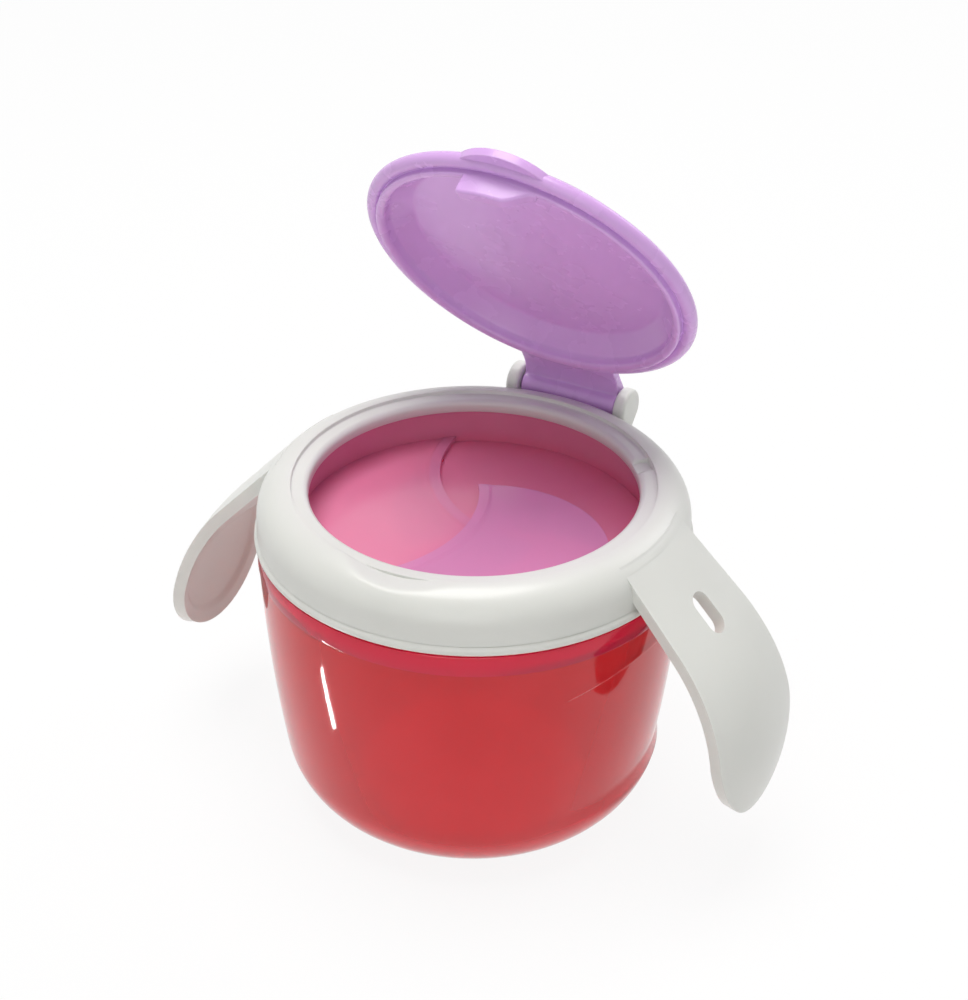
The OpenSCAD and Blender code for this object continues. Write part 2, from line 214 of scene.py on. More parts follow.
def whitePolypropylene():
    # injection-moulded opaque polypropylene: milky white, with a soft satin highlight
    material, tree, place, principled = newMaterial("white polypropylene, moulded satin", {
        "IOR": 1.49, "Subsurface Weight": 0.12, "Subsurface Radius": (0.002, 0.0018, 0.0016),
        "Subsurface Scale": 1.0})
    mouldedSurface(tree, place, principled, {
        "deep": "#D6D7D2", "light": "#DCDDD8", "cloudSize": 30,
        "gloss": (0.26, 0.36), "wearSize": 8, "grainSize": 0.8, "grain": 0.05})
    return material


def softElastomer():
    # moulded thermoplastic elastomer: pinkish lilac, partly see-through, with a soft gloss
    material, tree, place, principled = newMaterial("lilac soft elastomer, moulded", {
        "IOR": 1.45, "Transmission Weight": 0.35})
    colour = mouldedSurface(tree, place, principled, {
        "deep": "#FA96BE", "light": "#FDA0C4", "cloudSize": 20,
        "gloss": (0.16, 0.24), "wearSize": 7, "grainSize": 0.7, "grain": 0.03})
    # painted light: only the top flap, at its height and inside the well, is tinted lilac, standing in for
    # how light through the stacked flaps over the red bowl colours them
    paintedLightBetween(tree, place, principled, colour, 67.7, 69.2, "#F0A2D2", within=38.5)
    return material


def lilacPolypropylene():
    # injection-moulded polypropylene: lilac, satin, with a little light spreading inside its wall
    material, tree, place, principled = newMaterial("lilac polypropylene, moulded", {
        "IOR": 1.49, "Subsurface Weight": 0.08, "Subsurface Radius": (0.003, 0.0018, 0.0035),
        "Subsurface Scale": 1.0})
    mouldedSurface(tree, place, principled, {
        "deep": "#D3A6E2", "light": "#D6AAE5", "cloudSize": 24,
        "gloss": (0.22, 0.32), "wearSize": 8, "grainSize": 0.8, "grain": 0.04})
    return material


bowlPlastic = tintedPolypropylene()
collarPlastic = whitePolypropylene()
insertElastomer = softElastomer()
lidPlastic = lilacPolypropylene()
print("materials made")


bowlShape = {
    "radius": 47.3, "lean": 1.6, "curve": 390, "corner": 17, "wall": 2.2,
    "bandZ": 61.4, "bandStep": 0.2, "neck": 44.7, "neckWall": 1.6, "top": 74.2,
    "gripDepth": 1.1, "gripRadius": 52, "gripZ": 55.2, "gripArch": 100, "gripShift": 2,
    "gripFoot": 14, "ledge": 0.55, "steps": 288,
}


def wallMiddle():
    b = bowlShape
    x = b["radius"] - b["curve"] * cos(radians(b["lean"]))
    z = b["bandZ"] + b["curve"] * sin(radians(b["lean"]))
    foot = asin((z - b["corner"]) / (b["curve"] - b["corner"]))
    return x, z, foot, x + (b["curve"] - b["corner"]) * cos(foot)


def wallRadius(z, inset):
    b = bowlShape
    x, middle, foot, cornerX = wallMiddle()
    if z > b["corner"] - (b["corner"] - inset) * sin(foot):
        return x + sqrt((b["curve"] - inset) ** 2 - (middle - z) ** 2)
    return cornerX + sqrt(max(0, (b["corner"] - inset) ** 2 - (z - b["corner"]) ** 2))


def recessed(co, inset):
    # rows near the ledge are bent along its arch, then all below it is set back into the wall
    b = bowlShape
    turn = atan2(co.y, co.x)
    across = co.y + b["gripShift"]
    drop = b["gripArch"] - sqrt(b["gripArch"] ** 2 - across ** 2)
    above = (b["bandZ"] - co.z) / (b["bandZ"] - b["gripZ"])
    below = (co.z - b["gripFoot"]) / (b["gripZ"] - b["gripFoot"])
    z = co.z - drop * smooth(min(1, above, below))
    radius = wallRadius(z, inset)
    offset = b["gripRadius"] - (b["radius"] - b["gripDepth"])
    wide = radius + b["gripRadius"] - b["radius"]
    setBack = sqrt(wide ** 2 - (offset * sin(turn)) ** 2) - offset * abs(cos(turn))
    if setBack < radius:
        under = smooth((b["gripZ"] - drop - z + b["ledge"] / 2) / b["ledge"])
        radius += (setBack - radius) * under
    return Vector((radius * cos(turn), radius * sin(turn), z))


def makeBowl():
    b = bowlShape
    cornerX = wallMiddle()[3]
    ledgeRows = [b["gripZ"] + d for d in (-1.2, -0.7, -0.35, -0.2, -0.08, 0.08, 0.2, 0.35, 0.7, 1.2)]
    rows = sorted([b["gripFoot"] + i * 2.2 for i in range(18)] + ledgeRows + [57.6, 59, 60.4])
    outer = [(0, 0), (cornerX * 0.5, 0), (cornerX, 0)]
    outer += [(wallRadius(z, 0), z) for z in (0.15, 0.5, 1.1, 2, 3.2, 4.6, 6.2, 8, 10, 12)]
    outer += [(wallRadius(z, 0), z) for z in rows]
    band = b["radius"] + b["bandStep"]
    shoulder = levels["shoulder"]
    outer += [(b["radius"], b["bandZ"]), (band - 0.05, b["bandZ"] + 0.1), (band, b["bandZ"] + 0.3)]
    outer += [(band, shoulder - 0.4), (band - 0.12, shoulder - 0.12), (band - 0.4, shoulder)]
    outer += [(b["neck"], shoulder)]
    outer += [(b["neck"], shoulder + 3.5), (b["neck"] + 0.2, shoulder + 4), (b["neck"], shoulder + 4.5)]
    outer += [(b["neck"], b["top"] - 0.3), (b["neck"] - 0.3, b["top"])]
    bore = b["neck"] - b["neckWall"]
    inner = [(bore + 0.3, b["top"]), (bore, b["top"] - 0.3), (bore, b["bandZ"] - 0.2)]
    inner += [(min(bore, wallRadius(z, b["wall"])), z) for z in reversed(rows)]
    inner += [(wallRadius(z, b["wall"]), z) for z in (12, 10, 8, 6.4, 5, 3.9, 3.1, 2.6, 2.3)]
    inner += [(cornerX, b["wall"]), (cornerX * 0.5, b["wall"]), (0, b["wall"])]
    bm = spinSection(outer + inner, b["steps"])

    def place(co):
        radius = hypot(co.x, co.y)
        if not b["gripFoot"] < co.z < b["bandZ"] - 0.25:
            return co
        inset = b["wall"] if radius < wallRadius(co.z, b["wall"] / 2) else 0
        return recessed(co, inset)

    moveEach(bm, place)
    finish(bm, "bowlShell", bowlPlastic, "bowl", "bowl", 35)


makeBowl()
print("bowl made")


ringShape = {
    "flange": 48, "flangeHeight": 2.4, "skirt": 45.2, "side": 47.3, "dome": 7.5,
    "step": 39.6, "throat": 35.9, "lipRound": 1.4, "steps": 360,
    "scoopWidth": 11, "scoopDepth": 1.3, "scoopEdge": 0.5,
    "notchAngle": 40, "notchWidth": 4.5, "notchDepth": 0.9,
}
domeX = ringShape["side"] - ringShape["dome"]
domeZ = levels["crest"] - ringShape["dome"]


def notched(co):
    # the small notch across the lip, which keeps the closed lid from sealing
    r = ringShape
    turn = radians(r["notchAngle"])
    along = co.x * cos(turn) + co.y * sin(turn)
    across = abs(co.y * cos(turn) - co.x * sin(turn))
    if along > 0 and hypot(co.x, co.y) < r["step"] + 0.05 and co.z > levels["lip"] + 0.5:
        depth = smooth((r["notchWidth"] / 2 + 0.3 - across) / 0.45)
        floor = levels["seat"] - r["notchDepth"]
        if co.z > floor:
            co.z += (floor - co.z) * depth
    return co


def scooped(co):
    # thumb scoop in the crest, under the finger tab, with soft edges
    r = ringShape
    turn = radians(frontTurn)
    across = co.x * cos(turn) + co.y * sin(turn)
    outwards = co.x * sin(turn) - co.y * cos(turn)
    radius = (r["scoopWidth"] ** 2 + r["scoopDepth"] ** 2) / (2 * r["scoopDepth"])
    onCrest = co.z > levels["seat"] - 4 and hypot(co.x, co.y) > r["step"] - 0.1
    if outwards > 0 and abs(across) < radius * 0.8 and onCrest:
        floor = levels["crest"] - r["scoopDepth"] + radius - sqrt(radius ** 2 - across ** 2)
        co.z = (co.z + floor - hypot(co.z - floor, r["scoopEdge"])) / 2
    return co


def makeRing():
    r = ringShape
    z = levels
    bead = r["flangeHeight"] / 2
    section = [(r["skirt"], z["collar"])]
    section += arc(r["flange"] - bead, z["collar"] + bead, bead, -90, 75, 12)
    flangeTop = z["collar"] + r["flangeHeight"]
    section += [(r["side"] + 0.12, flangeTop + 0.02), (r["side"], flangeTop + 0.25)]
    section += arc(domeX, domeZ, r["dome"], 0, 90, 26)
    section += [(r["step"] + 0.05, z["crest"] - 0.04), (r["step"], z["crest"] - 0.15)]
    section += [(r["step"], z["seat"] + 0.2), (r["step"] - 0.06, z["seat"] + 0.06)]
    section += [(r["step"] - 0.2, z["seat"])]
    section += [(r["step"] - 1, z["seat"]), (r["step"] - 1.6, z["seat"])]
    section += arc(r["throat"] + r["lipRound"], z["seat"] - r["lipRound"], r["lipRound"], 90, 180, 10)
    section += [(r["throat"], z["lip"] + 0.3), (r["throat"] + 0.3, z["lip"])]
    # the snap bead inside the skirt
    section += [(r["skirt"], z["lip"]), (r["skirt"], z["shoulder"] + 2.5)]
    section += [(r["skirt"] - 0.2, z["shoulder"] + 2), (r["skirt"], z["shoulder"] + 1.5)]
    bm = spinSection(section, r["steps"])

    def place(co):
        # two columns on each side of the notch are moved close together, to give it upright sides
        turn = degrees(atan2(co.y, co.x))
        radius = hypot(co.x, co.y)
        for start, end in ((36, 36.35), (37, 36.75), (43, 43.25), (44, 43.65)):
            if abs(turn - start) < 0.01:
                co.x, co.y = radius * cos(radians(end)), radius * sin(radians(end))
        return scooped(notched(co))

    moveEach(bm, place)
    finish(bm, "collarRing", collarPlastic, "collar", "collar", 50)


makeRing()
print("collar ring made")


handleShape = {
    "thickness": 2.8, "slope": 46.5, "straight": 22, "bend1": 50, "turn1": 21, "bend2": 43,
    "rootWidth": 24, "width": 35, "drop": 27.5, "shift": 2, "dish": 0.8, "dishRim": 3.4, "dishTop": 12,
    "slotLength": 10, "slotWidth": 5.2, "slotAt": 18.5, "rootSink": 0.06, "rootIn": 1.5,
    "edge": 1.1, "columns": 64, "rows": 110,
}


def handlePlan():
    h = handleShape
    leave = 90 - h["slope"]
    reach = ringShape["dome"] - h["thickness"] / 2 - h["rootSink"]
    slope = radians(h["slope"])
    startX = domeX + reach * cos(radians(leave)) - h["rootIn"] * cos(slope)
    startZ = domeZ + reach * sin(radians(leave)) + h["rootIn"] * sin(slope)
    x1 = startX + h["straight"] * cos(slope) - h["bend1"] * cos(radians(leave))
    z1 = startZ - h["straight"] * sin(slope) - h["bend1"] * sin(radians(leave))
    turn2 = leave - h["turn1"]
    x2 = x1 + (h["bend1"] - h["bend2"]) * cos(radians(turn2))
    z2 = z1 + (h["bend1"] - h["bend2"]) * sin(radians(turn2))
    return startX, startZ, (x1, z1), (x2, z2), z1 + h["bend1"] * sin(radians(turn2))


def handleRadius(z):
    # distance from the container's axis to the middle of the handle's thickness, at a height
    h = handleShape
    startX, startZ, first, second, bendZ = handlePlan()
    slope = radians(h["slope"])
    if z > startZ - h["straight"] * sin(slope):
        return startX + (startZ - z) / sin(slope) * cos(slope)
    middle, bend = (first, h["bend1"]) if z > bendZ else (second, h["bend2"])
    return middle[0] + sqrt(bend ** 2 - (z - middle[1]) ** 2)


def slotReach(y, z):
    # how far a place lies outside the slot's outline, measured along the handle's slope
    h = handleShape
    startZ = handlePlan()[1]
    slope = radians(h["slope"])
    along = (startZ - z) / sin(slope) - h["slotAt"]
    half = (h["slotLength"] - h["slotWidth"]) / 2
    nearest = min(half, max(-half, along))
    return along - nearest, y, nearest, hypot(along - nearest, y) - h["slotWidth"] / 2


def handleEdge(y, z):
    # how far a place lies inside the handle's outline; y is measured from the handle's own middle
    h = handleShape
    half = h["width"] / 2
    wideZ = levels["collar"] - h["drop"]
    narrowing = (half - h["rootWidth"] / 2) / (levels["crest"] - wideZ)
    return half - narrowing * (z - wideZ) - abs(y) if z > wideZ else half - hypot(y, z - wideZ)


def makeHandle(side, name):
    h = handleShape
    startZ = handlePlan()[1]
    wideZ = levels["collar"] - h["drop"]
    half = h["width"] / 2
    slope = radians(h["slope"])
    bm = bmesh.new()
    bmesh.ops.create_grid(bm, x_segments=h["columns"], y_segments=h["rows"], size=1)
    endShare = half / (half + startZ - wideZ)
    for v in bm.verts:
        # the lower part of the grid becomes the round end, the rest narrows up to the root
        u, along = v.co.x, (v.co.y + 1) / 2
        if along < endShare:
            w = along / endShare - 1
            v.co = Vector((0, half * u * sqrt(1 - w * w / 2), wideZ + half * w * sqrt(1 - u * u / 2)))
        else:
            z = wideZ + (along - endShare) / (1 - endShare) * (startZ - wideZ)
            v.co = Vector((0, u * handleEdge(0, z), z))
    # the slot: the faces inside it go, and its edge is drawn onto the round-ended outline
    inside = []
    for f in bm.faces:
        middle = f.calc_center_median()
        if slotReach(middle.y, middle.z)[3] < 0:
            inside.append(f)
    bmesh.ops.delete(bm, geom=inside, context="FACES")
    for v in bm.verts:
        outwards, sideways, nearest, gap = slotReach(v.co.y, v.co.z)
        if v.is_boundary and gap < 1:
            size = hypot(outwards, sideways)
            v.co.y = sideways / size * h["slotWidth"] / 2
            v.co.z = startZ - (nearest + outwards / size * h["slotWidth"] / 2 + h["slotAt"]) * sin(slope)
    near = [v for v in bm.verts if not v.is_boundary and slotReach(v.co.y, v.co.z)[3] < 2.5]
    for i in range(8):
        bmesh.ops.smooth_vert(bm, verts=near, factor=0.5,
                              use_axis_x=False, use_axis_y=True, use_axis_z=True)
    for v in bm.verts:
        v.co.y -= h["shift"]
        v.co.x = side * sqrt(handleRadius(v.co.z) ** 2 - v.co.y ** 2)
    bmesh.ops.recalc_face_normals(bm, faces=bm.faces)
    bm.faces.ensure_lookup_table()
    if bm.faces[0].normal.x * side < 0:
        bmesh.ops.reverse_faces(bm, faces=bm.faces)
    bm.normal_update()
    for v in bm.verts:
        v.co += v.normal * h["thickness"] / 2
    bmesh.ops.solidify(bm, geom=bm.faces[:], thickness=h["thickness"])
    for v in bm.verts:
        # the dish in the inner face, with a soft step all round
        if hypot(v.co.x, v.co.y) < handleRadius(v.co.z):
            edge = min(handleEdge(v.co.y + h["shift"], v.co.z), wideZ + h["dishTop"] - v.co.z)
            depth = h["dish"] * smooth((edge - h["dishRim"] + 0.5) / 1.1)
            v.co.x += side * depth * cos(slope / 2)
            v.co.z += depth * sin(slope / 2)
    bmesh.ops.recalc_face_normals(bm, faces=bm.faces)
    piece = finish(bm, name, collarPlastic, "collar", "collar", 50)
    addBevel(piece, h["edge"], 4, 55)


makeHandle(1, "handleRight")
makeHandle(-1, "handleLeft")
print("handles made")


earShape = {
    "radius": 4.7, "thickness": 3, "socket": 1.68, "socketDepth": 2.2,
    "foot": 2, "lean": 30, "edge": 1.1, "points": 72,
}


def earReach(turn):
    # distance from the pin to the ear's outline: round above, a web down to the collar below
    e = earShape
    if turn <= 180 or turn >= 360 - e["lean"]:
        return e["radius"]
    dx, dz = cos(radians(turn)), sin(radians(turn))
    bottom = hinge["z"] - domeZ + e["foot"]
    reach = min(e["radius"] / max(1e-6, -dx) if dx < 0 else 99, bottom / max(1e-6, -dz))
    # the slanted back of the web
    foot = (ringShape["side"] - 1 - hinge["y"], -bottom)
    top = (e["radius"] * cos(radians(e["lean"])), -e["radius"] * sin(radians(e["lean"])))
    nx, nz = foot[1] - top[1], top[0] - foot[0]
    facing = dx * nx + dz * nz
    plane = top[0] * nx + top[1] * nz
    return min(reach, plane / facing) if facing * plane > 0 else reach


def makeEar(side, name):
    # a blind socket for the pin opens in the inner face
    e = earShape
    bm = bmesh.new()
    rims = []
    for hole in (False, True):
        made = bmesh.ops.create_circle(bm, segments=e["points"], radius=1)["verts"]
        for v in made:
            turn = degrees(atan2(v.co.y, v.co.x)) % 360
            reach = e["socket"] if hole else earReach(turn)
            v.co = Vector((side * hinge["earStart"], hinge["y"] + reach * cos(radians(turn)),
                           hinge["z"] + reach * sin(radians(turn))))
        if hole:
            rims.append((bm.edges[-e["points"]:], e["socketDepth"]))
        else:
            rims.append((bm.edges[:], e["thickness"]))
    bmesh.ops.bridge_loops(bm, edges=bm.edges[:])
    for rim, depth in rims:
        made = bmesh.ops.extrude_edge_only(bm, edges=rim)
        bmesh.ops.translate(bm, vec=(side * depth, 0, 0), verts=vertsOf(made))
        loop = [g for g in made["geom"] if isinstance(g, bmesh.types.BMEdge) and g.is_boundary]
        bmesh.ops.edgeloop_fill(bm, edges=loop)
    bmesh.ops.recalc_face_normals(bm, faces=bm.faces)
    piece = finish(bm, name, collarPlastic, "collar", "collar", 50)
    addBevel(piece, e["edge"], 5, 50)


makeEar(1, "earRight")
makeEar(-1, "earLeft")
print("ears made")


insertShape = {
    "flangeTop": 75.4, "flangeHeight": 0.9, "flangeRadius": 44.7,
    "well": 38.9, "wall": 1.1, "floor": 65.45, "middle": 67.0,
    "flap": 0.8, "step": 1.15, "bandWidth": 2.6, "band": 0.25,
    "hollow": (-35, -6, 34.7), "full": (8, -8, 26), "rootTo": 12, "columns": 150, "rows": 40,
    "steps": 240,
}


def makeWell():
    w = insertShape
    well, floor, flange, top = w["well"], w["floor"], w["flangeRadius"], w["flangeTop"]
    out = well + w["wall"]
    under = top - w["flangeHeight"]
    section = [(well, floor + 0.2), (well + 0.2, floor), (out - 0.3, floor), (out, floor + 0.3)]
    section += [(out, under - 0.6), (out + 0.2, under - 0.15), (out + 0.6, under), (flange - 0.3, under)]
    section += [(flange, under + 0.3), (flange, top - 0.3), (flange - 0.3, top), (well + 0.5, top)]
    section += [(well + 0.12, top - 0.15), (well, top - 0.5), (well, 72), (well, 69.5)]
    bm = spinSection(section, w["steps"])
    finish(bm, "insertWell", insertElastomer, "flap_insert", "flap_insert", 60)


def meet(first, second, upper):
    # where two circles (x, y, radius) cross; upper picks which of the two places
    dx, dy = second[0] - first[0], second[1] - first[1]
    apart = hypot(dx, dy)
    along = (apart ** 2 + first[2] ** 2 - second[2] ** 2) / (2 * apart)
    off = sqrt(first[2] ** 2 - along ** 2) * (1 if upper else -1)
    return first[0] + (along * dx - off * dy) / apart, first[1] + (along * dy + off * dx) / apart


def flapBack(steps):
    # the flap's back edge: round the wall from its front corner, then back to its free tip
    w = insertShape
    wallCircle = (0, 0, w["well"] + w["wall"] / 2)
    corner = meet(w["hollow"], wallCircle, False)
    tip = meet(w["hollow"], w["full"], True)
    start, end = degrees(atan2(corner[1], corner[0])), w["rootTo"]
    line = [(wallCircle[2] * cos(radians(a)), wallCircle[2] * sin(radians(a)))
            for a in [start + (end - start) * i / 90 for i in range(91)]]
    fullX, fullY, fullR = w["full"]
    rayX, rayY = cos(radians(end)), sin(radians(end))
    toMiddle = fullX * rayX + fullY * rayY
    reach = toMiddle + sqrt(toMiddle ** 2 - fullX ** 2 - fullY ** 2 + fullR ** 2)
    first = degrees(atan2(reach * rayY - fullY, reach * rayX - fullX))
    last = degrees(atan2(tip[1] - fullY, tip[0] - fullX))
    last += 360 if last < first else 0
    line += [(fullX + fullR * cos(radians(a)), fullY + fullR * sin(radians(a)))
             for a in [first + (last - first) * i / 90 for i in range(91)]]
    length = [0]
    for a, b in zip(line, line[1:]):
        length.append(length[-1] + hypot(b[0] - a[0], b[1] - a[1]))
    evenly, k = [], 0
    for i in range(steps + 1):
        at = length[-1] * i / steps
        while k < len(line) - 2 and length[k + 1] < at:
            k += 1
        share = (at - length[k]) / max(1e-9, length[k + 1] - length[k])
        evenly.append((line[k][0] + (line[k + 1][0] - line[k][0]) * share,
                       line[k][1] + (line[k + 1][1] - line[k][1]) * share))
    return corner, tip, evenly


def makeFlap(turn, level, name):
    w = insertShape
    corner, tip, back = flapBack(w["columns"] - 1)
    hollowX, hollowY, hollowR = w["hollow"]
    first = degrees(atan2(corner[1] - hollowY, corner[0] - hollowX))
    last = degrees(atan2(tip[1] - hollowY, tip[0] - hollowX))
    bm = bmesh.new()
    bmesh.ops.create_grid(bm, x_segments=w["columns"] - 1, y_segments=w["rows"], size=1)
    bottom = w["middle"] + level * w["step"] - w["flap"] / 2
    for v in bm.verts:
        i = round((v.co.x + 1) / 2 * (w["columns"] - 1))
        share = ((v.co.y + 1) / 2) ** 1.6  # closer rows along the hollow edge
        a = radians(first + (last - first) * i / (w["columns"] - 1))
        x = (hollowX + hollowR * cos(a)) * (1 - share) + back[i][0] * share
        y = (hollowY + hollowR * sin(a)) * (1 - share) + back[i][1] * share
        v.co = Vector((x, y, bottom))
    bmesh.ops.remove_doubles(bm, verts=bm.verts, dist=0.002)
    bmesh.ops.recalc_face_normals(bm, faces=bm.faces)
    bm.faces.ensure_lookup_table()
    if bm.faces[0].normal.z > 0:
        bmesh.ops.reverse_faces(bm, faces=bm.faces)
    bm.normal_update()
    bmesh.ops.solidify(bm, geom=bm.faces[:], thickness=w["flap"])
    for v in bm.verts:
        # the thicker band along the hollow edge, with a soft step down to the thin sheet
        if v.co.z > bottom + w["flap"] / 2:
            edge = hypot(v.co.x - hollowX, v.co.y - hollowY) - hollowR
            v.co.z += w["band"] * smooth((w["bandWidth"] + 0.3 - edge) / 0.6)
    bmesh.ops.rotate(bm, verts=bm.verts, matrix=Matrix.Rotation(radians(turn), 3, "Z"))
    bmesh.ops.recalc_face_normals(bm, faces=bm.faces)
    piece = finish(bm, name, insertElastomer, "flap_insert", "flap_insert", 50)
    addBevel(piece, 0.25, 3, 60)


makeWell()
makeFlap(0, 1, "flapTop")
makeFlap(-120, 0, "flapMiddle")
makeFlap(120, -1, "flapLower")
print("insert made")


# the lid's pieces are made closed and then opened about its pins
lidShape = {
    "radius": 38.45, "rim": 3.2, "crown": 4.2, "crownRadius": 30, "wall": 1.6,
    "plug": 35.5, "plugWall": 1.5, "plugDepth": 1.0,
    "latchWidth": 16, "latchDrop": 4.0, "latchTaper": 11,
    "fingerWidth": 9, "fingerReach": 2.5, "tab": 2, "tabIn": 2, "tabWidth": 24, "tabZ": 80.1,
    "barrel": 3.1, "pin": 1.6, "pinEnd": 14.3, "steps": 288,
}


def makeLidShell():
    d = lidShape
    z, rim = levels["rim"], d["rim"]
    top = z + rim + d["crown"]
    inside = d["plug"] - d["plugWall"]
    crown = d["crownRadius"]
    section = [(0, top), (crown * 0.5, top), (crown - 1, top), (crown, top - 0.08)]
    section += [(crown + 0.7, top - 0.35), (crown + 1.2, top - 0.8)]
    section += [(d["plug"] + 0.7, z + rim + 0.12), (d["plug"] + 1.1, z + rim)]
    # the rim's bead rolls in to a groove, then comes the plug ring with its soft inner edge
    section += arc(d["radius"] - rim / 2, z + rim / 2, rim / 2, 90, -138, 24)
    section += [(d["plug"] + 0.04, z + 0.45), (d["plug"], z + 0.2)]
    low = z - d["plugDepth"]
    section += arc(d["plug"] - 0.5, low + 0.5, 0.5, 0, -90, 6)
    section += arc(inside + 0.9, low + 1.4, 1.4, -90, -170, 9)
    shelf, panel = z + rim - d["wall"], top - d["wall"]
    section += [(inside - 0.6, shelf - 0.2), (inside - 1, shelf + 0.35)]
    section += [(crown - 0.3, panel - 0.5), (crown - 0.7, panel - 0.15), (crown - 1.3, panel)]
    section += [(crown * 0.5, panel), (0, panel)]
    bm = spinSection(section, d["steps"])
    openLid(bm)
    finish(bm, "lidShell", lidPlastic, "lid", "lid", 45)


def makeLatch():
    # the taller, thicker stretch at the front of the plug ring, which clicks past the lip
    d = lidShape
    low = levels["rim"] - d["plugDepth"] - d["latchDrop"]
    high = levels["rim"] + 0.4
    outer, inner = d["plug"] - 0.02, d["plug"] - 2 * d["plugWall"]
    half = degrees(asin(d["latchWidth"] / 2 / (d["plug"] - d["plugWall"])))
    bm = bmesh.new()
    section = ((inner, low), (outer, low), (outer, high), (inner, high))
    face = bm.faces.new([bm.verts.new((x, 0, z)) for x, z in section])
    bmesh.ops.rotate(bm, verts=bm.verts, matrix=Matrix.Rotation(radians(frontTurn - 90 - half), 3, "Z"))
    bmesh.ops.spin(bm, geom=[face], cent=(0, 0, 0), axis=(0, 0, 1), angle=radians(2 * half), steps=24)
    bmesh.ops.remove_doubles(bm, verts=bm.verts, dist=0.0005)
    for v in bm.verts:
        # one end runs out softly into the plug ring, the other is cut off square
        before = radians(frontTurn - 90 + half) - atan2(v.co.y, v.co.x)
        if v.co.z < levels["rim"]:
            v.co.z += (d["latchDrop"] - 0.2) * smooth(1 - before / radians(d["latchTaper"]))
    bmesh.ops.recalc_face_normals(bm, faces=bm.faces)
    openLid(bm)
    piece = finish(bm, "lidLatch", lidPlastic, "lid", "lid", 50)
    addBevel(piece, 0.6, 4, 50)


def makeFingerTab():
    # a crescent that stands out from the rim; its outline runs through the tip and both its ends
    d = lidShape
    rise = d["radius"] + d["fingerReach"] - sqrt(d["radius"] ** 2 - d["fingerWidth"] ** 2)
    radius = (d["fingerWidth"] ** 2 + rise ** 2) / (2 * rise)
    middle = d["radius"] + d["fingerReach"] - radius
    inner = d["radius"] - d["tabIn"]
    corner = meet((0, -middle, radius), (0, 0, inner), True)
    outward = degrees(atan2(abs(corner[0]), -corner[1] - middle))
    inward = degrees(atan2(abs(corner[0]), -corner[1]))
    outline = arc(0, -middle, radius, -90 - outward, -90 + outward, 48)
    outline += arc(0, 0, inner, -90 + inward, -90 - inward, 24)[1:-1]
    bm = bmesh.new()
    face = bm.faces.new([bm.verts.new((x, y, d["tabZ"])) for x, y in outline])
    top = bmesh.ops.extrude_face_region(bm, geom=[face])
    bmesh.ops.translate(bm, vec=(0, 0, d["tab"]), verts=vertsOf(top))
    bmesh.ops.rotate(bm, verts=bm.verts, matrix=Matrix.Rotation(radians(frontTurn), 3, "Z"))
    bmesh.ops.recalc_face_normals(bm, faces=bm.faces)
    openLid(bm)
    piece = finish(bm, "fingerTab", lidPlastic, "lid", "lid", 50)
    addBevel(piece, 0.8, 4, 50)


def makeHingeTab():
    d = lidShape
    y, z = hinge["y"], hinge["z"]
    inner = d["radius"] - d["tabIn"]
    side = [(inner, d["tabZ"])]
    side += arc(domeX, domeZ, d["tabZ"] - domeZ, 90, 55, 10)
    side += arc(y, z, d["barrel"], 166, 400, 26)
    side += [(y, d["tabZ"] + d["tab"]), (inner, d["tabZ"] + d["tab"])]
    bm = bmesh.new()
    face = bm.faces.new([bm.verts.new((-d["tabWidth"] / 2, py, pz)) for py, pz in side])
    made = bmesh.ops.extrude_face_region(bm, geom=[face])
    bmesh.ops.translate(bm, vec=(d["tabWidth"], 0, 0), verts=vertsOf(made))
    bmesh.ops.recalc_face_normals(bm, faces=bm.faces)
    openLid(bm)
    piece = finish(bm, "hingeTab", lidPlastic, "lid", "lid", 40)
    addBevel(piece, 0.35, 3, 40)


def makePins():
    d = lidShape
    bm = bmesh.new()
    turned = Matrix.Translation((0, hinge["y"], hinge["z"])) @ Matrix.Rotation(radians(90), 4, "Y")
    bmesh.ops.create_cone(bm, cap_ends=True, segments=64, radius1=d["pin"], radius2=d["pin"],
                          depth=2 * d["pinEnd"], matrix=turned)
    openLid(bm)
    piece = finish(bm, "hingePins", lidPlastic, "lid", "lid", 40)
    addBevel(piece, 0.25, 3, 40)


makeLidShell()
makeLatch()
makeFingerTab()
makeHingeTab()
makePins()
print("lid made")


stage = {
    "camera": (0.17334, -0.31626, 0.29663), "aim": (0.00030, 0.00396, 0.07184),
    "roll": 0.55, "lens": 72.4,
    "floor": 3, "floorWhite": 0.9, "world": 0.36,
}


def makeCamera():
    camera = bpy.data.objects.new("camera", bpy.data.cameras.new("camera"))
    bpy.context.scene.collection.objects.link(camera)
    camera.data.sensor_fit = "HORIZONTAL"
    camera.data.sensor_width = 36
    camera.data.lens = stage["lens"]
    camera.data.clip_start = 0.01
    camera.data.clip_end = 20
    camera.location = stage["camera"]
    look = (Vector(stage["aim"]) - Vector(stage["camera"])).to_track_quat("-Z", "Y").to_matrix().to_4x4()
    roll = Matrix.Rotation(radians(stage["roll"]), 4, "Z")
    camera.matrix_world = Matrix.Translation(stage["camera"]) @ look @ roll
    bpy.context.scene.camera = camera


def addLamp(name, place, target, size, power, colour):
    data = bpy.data.lights.new(name, "AREA")
    data.shape = "DISK"
    data.size = size
    data.energy = power
    data.color = colour
    lamp = bpy.data.objects.new(name, data)
    bpy.context.scene.collection.objects.link(lamp)
    lamp.location = place
    lamp.rotation_euler = (Vector(target) - Vector(place)).to_track_quat("-Z", "Y").to_euler()


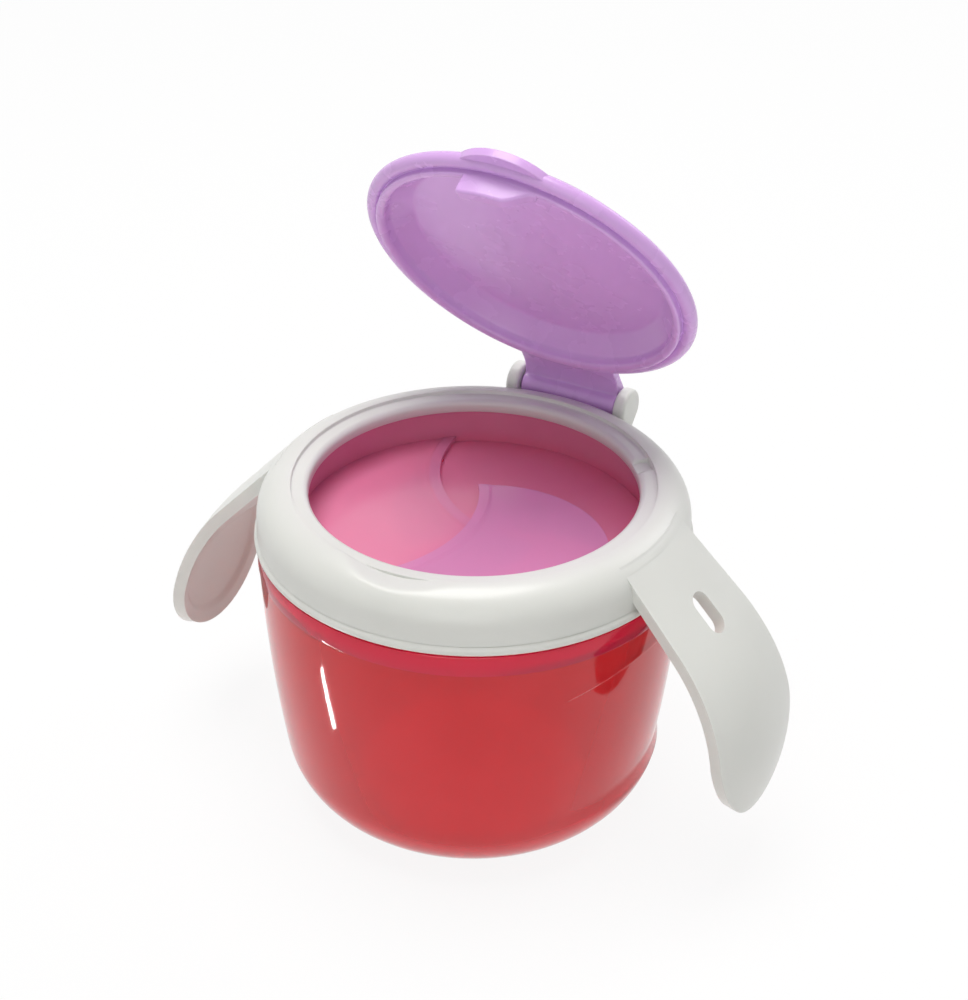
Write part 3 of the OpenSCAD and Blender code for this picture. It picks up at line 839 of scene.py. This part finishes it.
def addGlint(name, place, size, turn, power):
    # a narrow strip on the floor that shows only as a highlight in glossy walls
    data = bpy.data.lights.new(name, "AREA")
    data.shape = "RECTANGLE"
    data.size, data.size_y = size
    data.energy = power
    lamp = bpy.data.objects.new(name, data)
    bpy.context.scene.collection.objects.link(lamp)
    lamp.location = place
    lamp.rotation_euler = (pi, 0, radians(turn))
    lamp.visible_camera = False
    lamp.visible_diffuse = False
    lamp.visible_transmission = False


def shownToCamera(tree):
    # 1 for rays that show the background itself, or its image in gloss and see-through walls
    rays = addNode(tree, "ShaderNodeLightPath")
    first = addNode(tree, "ShaderNodeMath", {"operation": "MAXIMUM"})
    tree.links.new(rays.outputs["Is Camera Ray"], first.inputs[0])
    tree.links.new(rays.outputs["Is Glossy Ray"], first.inputs[1])
    both = addNode(tree, "ShaderNodeMath", {"operation": "MAXIMUM"})
    tree.links.new(first.outputs[0], both.inputs[0])
    tree.links.new(rays.outputs["Is Transmission Ray"], both.inputs[1])
    return both.outputs[0]


def makeFloor():
    bm = bmesh.new()
    bmesh.ops.create_grid(bm, x_segments=1, y_segments=1, size=stage["floor"])
    mesh = bpy.data.meshes.new("floor")
    bm.to_mesh(mesh)
    bm.free()
    floor = bpy.data.objects.new("floor", mesh)
    bpy.context.scene.collection.objects.link(floor)
    material = bpy.data.materials.new("plain white paper sweep")
    material.use_nodes = True
    tree = material.node_tree
    tree.nodes.clear()
    paper = addNode(tree, "ShaderNodeBsdfDiffuse", {"Color": linear("#F4F4F4")})
    white = addNode(tree, "ShaderNodeEmission", {"Strength": 1.0})
    share = addNode(tree, "ShaderNodeMath", {"operation": "MULTIPLY"})
    tree.links.new(shownToCamera(tree), share.inputs[0])
    share.inputs[1].default_value = stage["floorWhite"]
    mix = addNode(tree, "ShaderNodeMixShader", {}, {"Fac": share.outputs[0]})
    tree.links.new(paper.outputs[0], mix.inputs[1])
    tree.links.new(white.outputs[0], mix.inputs[2])
    addNode(tree, "ShaderNodeOutputMaterial", {}, {"Surface": mix.outputs[0]})
    mesh.materials.append(material)


def makeWorld():
    world = bpy.data.worlds.new("studio")
    bpy.context.scene.world = world
    world.use_nodes = True
    tree = world.node_tree
    tree.nodes.clear()
    soft = addNode(tree, "ShaderNodeBackground", {"Color": (1, 1, 1, 1), "Strength": stage["world"]})
    white = addNode(tree, "ShaderNodeBackground", {"Color": (1, 1, 1, 1), "Strength": 1.0})
    mix = addNode(tree, "ShaderNodeMixShader", {}, {"Fac": shownToCamera(tree)})
    tree.links.new(soft.outputs[0], mix.inputs[1])
    tree.links.new(white.outputs[0], mix.inputs[2])
    addNode(tree, "ShaderNodeOutputWorld", {}, {"Surface": mix.outputs[0]})


makeCamera()
makeFloor()
makeWorld()
addLamp("topSoftbox", (-0.1, 0.0, 1.15), (0, 0, 0.06), 0.8, 10.2, (1, 0.99, 0.98))
addLamp("frontSoftbox", (0.4, -1.0, 0.25), (0, 0, 0.08), 0.7, 1.75, (1, 1, 0.98))
addLamp("backSoftbox", (0.4, 0.85, 0.7), (0, 0, 0.08), 0.5, 1.6, (0.97, 0.98, 1))
addGlint("wallGlint", (-0.055, -0.0685, 0.001), (0.028, 0.0022), 22, 0.008)
bpy.context.scene.view_settings.view_transform = "Standard"
print("stage made")
